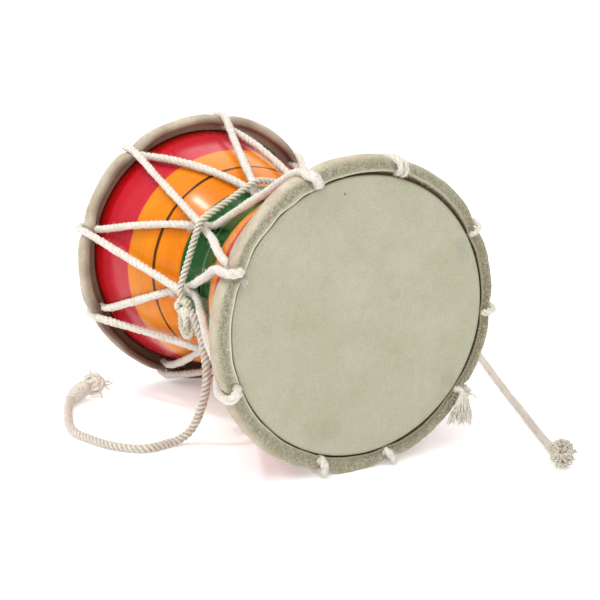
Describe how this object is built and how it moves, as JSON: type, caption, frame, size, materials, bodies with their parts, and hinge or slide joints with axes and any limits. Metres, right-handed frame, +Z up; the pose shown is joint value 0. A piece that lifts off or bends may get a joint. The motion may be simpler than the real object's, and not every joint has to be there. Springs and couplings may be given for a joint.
{
  "type": "temple hand drum",
  "caption": "Small two-headed hourglass hand drum, rope-laced, with two knotted striker cords, lying on its side.",
  "frame": {"origin": "on the surface that the drum lies on, midway between its two heads and under its axis", "axes": "+X along the drum towards its front head, +Z up; the drum lies on its side with its axis level"},
  "size_m": [0.2168, 0.2444, 0.1403],
  "materials": {
    "lacquered_wood": "gloss lacquer in turned bands of red, orange and green",
    "drum_hide": "untanned hide, matte, pale grey-cream",
    "cotton_rope": "twisted undyed cotton, matte and slightly hairy"
  },
  "bodies": {
    "root": {"drum_shell": "lacquered_wood", "front_drumhead": "drum_hide", "back_drumhead": "drum_hide", "lacing_rope": "cotton_rope", "waist_girdle": "cotton_rope", "left_striker_cord": "cotton_rope", "left_striker_knot": "cotton_rope", "right_striker_cord": "cotton_rope", "right_striker_knot": "cotton_rope"}
  },
  "joints": []
}
